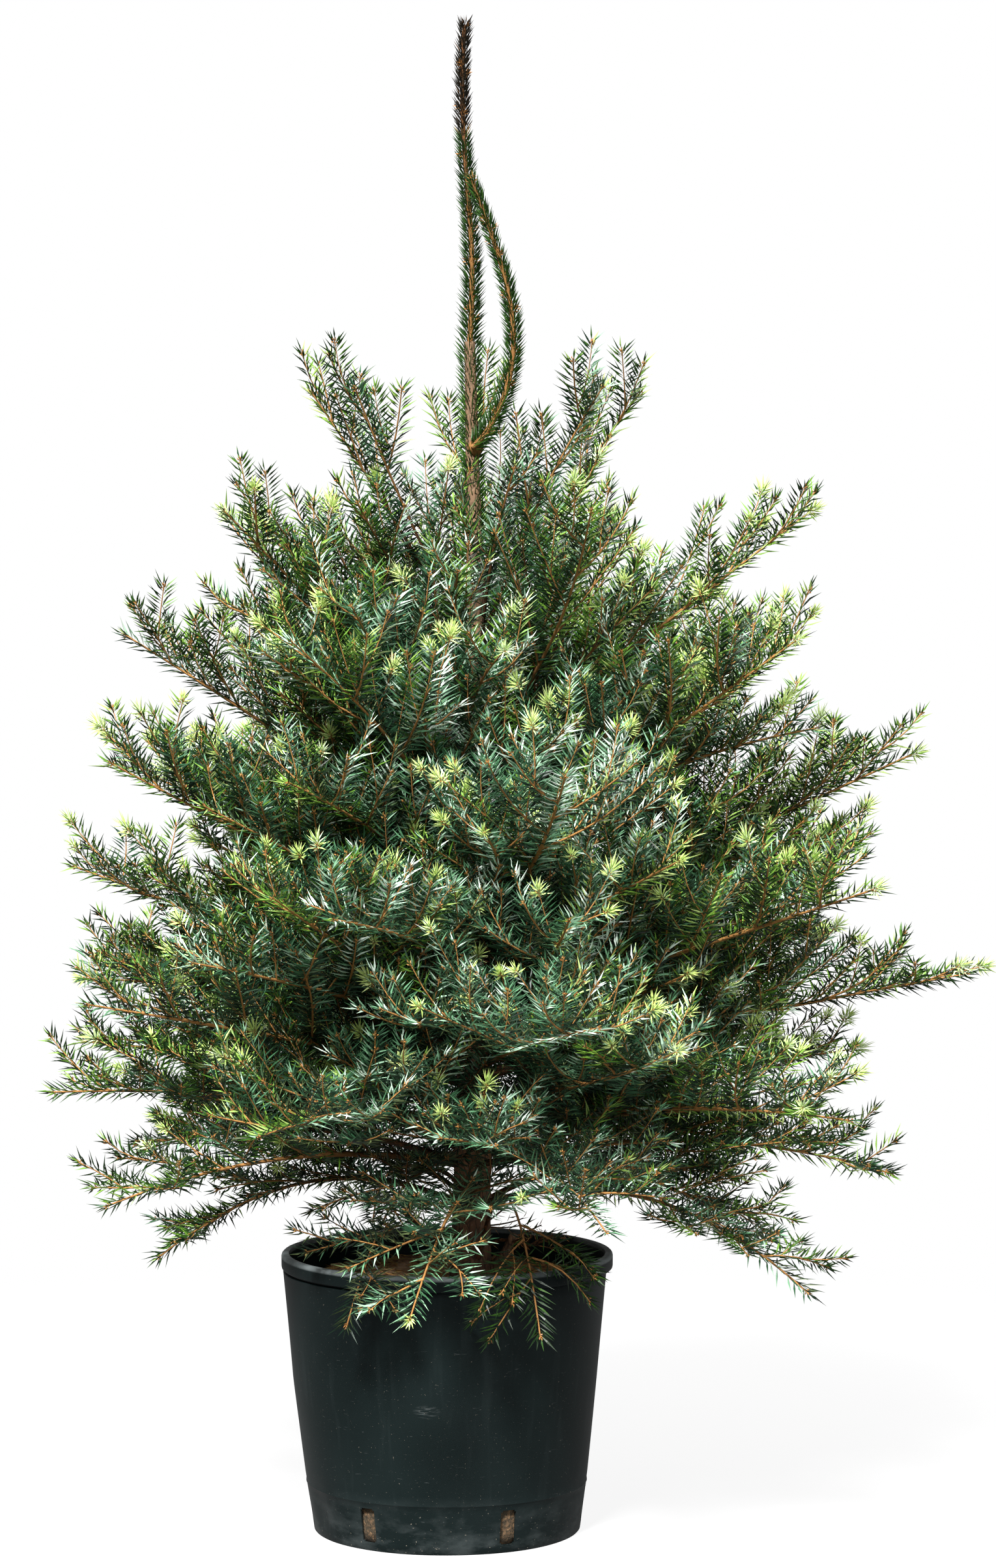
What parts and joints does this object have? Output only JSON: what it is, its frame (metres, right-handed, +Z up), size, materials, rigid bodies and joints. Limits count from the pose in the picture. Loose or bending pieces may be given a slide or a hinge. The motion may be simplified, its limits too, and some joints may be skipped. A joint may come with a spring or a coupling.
{
  "type": "potted spruce",
  "caption": "Young spruce with a straight leader and tiers of needled branches, growing in a round plastic nursery pot filled with soil.",
  "frame": {"origin": "on the pot's axis, level with the bottom of its foot ring", "axes": "+Z up along the pot's axis, -Y towards the viewer's side, +X to the viewer's right"},
  "size_m": [1.0751, 1.1159, 1.7727],
  "materials": {
    "black_plastic": "satin, lightly scuffed",
    "soil": "loose potting soil, matt",
    "bark_chips": "raw, weathered",
    "bark": "rough bark",
    "needles": "needled shoots, satin"
  },
  "bodies": {
    "root": {"nursery_pot": "black_plastic", "soil": "soil", "bark_chip_1": "bark_chips", "bark_chip_2": "bark_chips", "bark_chip_3": "bark_chips", "bark_chip_4": "bark_chips", "bark_chip_5": "bark_chips", "trunk": "bark", "leader": "needles", "side_leader": "needles", "drooping_branch_left": "needles", "drooping_branch_right": "needles", "bare_twig_1": "bark", "bare_twig_2": "bark", "bare_twig_3": "bark", "tier_1_branch_1": "needles", "tier_1_branch_2": "needles", "tier_1_branch_3": "needles", "tier_1_branch_4": "needles", "tier_1_branch_5": "needles", "tier_2_branch_1": "needles", "tier_2_branch_2": "needles", "tier_2_branch_3": "needles", "tier_2_branch_4": "needles", "tier_2_branch_5": "needles", "tier_3_branch_1": "needles", "tier_3_branch_2": "needles", "tier_3_branch_3": "needles", "tier_3_branch_4": "needles", "tier_3_branch_5": "needles", "tier_4_branch_1": "needles", "tier_4_branch_2": "needles", "tier_4_branch_3": "needles", "tier_4_branch_4": "needles", "tier_4_branch_5": "needles", "tier_5_branch_1": "needles", "tier_5_branch_2": "needles", "tier_5_branch_3": "needles", "tier_5_branch_4": "needles", "tier_5_branch_5": "needles", "tier_6_branch_1": "needles", "tier_6_branch_2": "needles", "tier_6_branch_3": "needles", "tier_6_branch_4": "needles", "tier_6_branch_5": "needles", "tier_7_branch_1": "needles", "tier_7_branch_2": "needles", "tier_7_branch_3": "needles", "tier_7_branch_4": "needles", "tier_7_branch_5": "needles", "tier_8_branch_1": "needles", "tier_8_branch_2": "needles", "tier_8_branch_3": "needles", "tier_8_branch_4": "needles", "tier_8_branch_5": "needles", "tier_9_branch_1": "needles", "tier_9_branch_2": "needles", "tier_9_branch_3": "needles", "tier_9_branch_4": "needles", "tier_9_branch_5": "needles"}
  },
  "joints": []
}
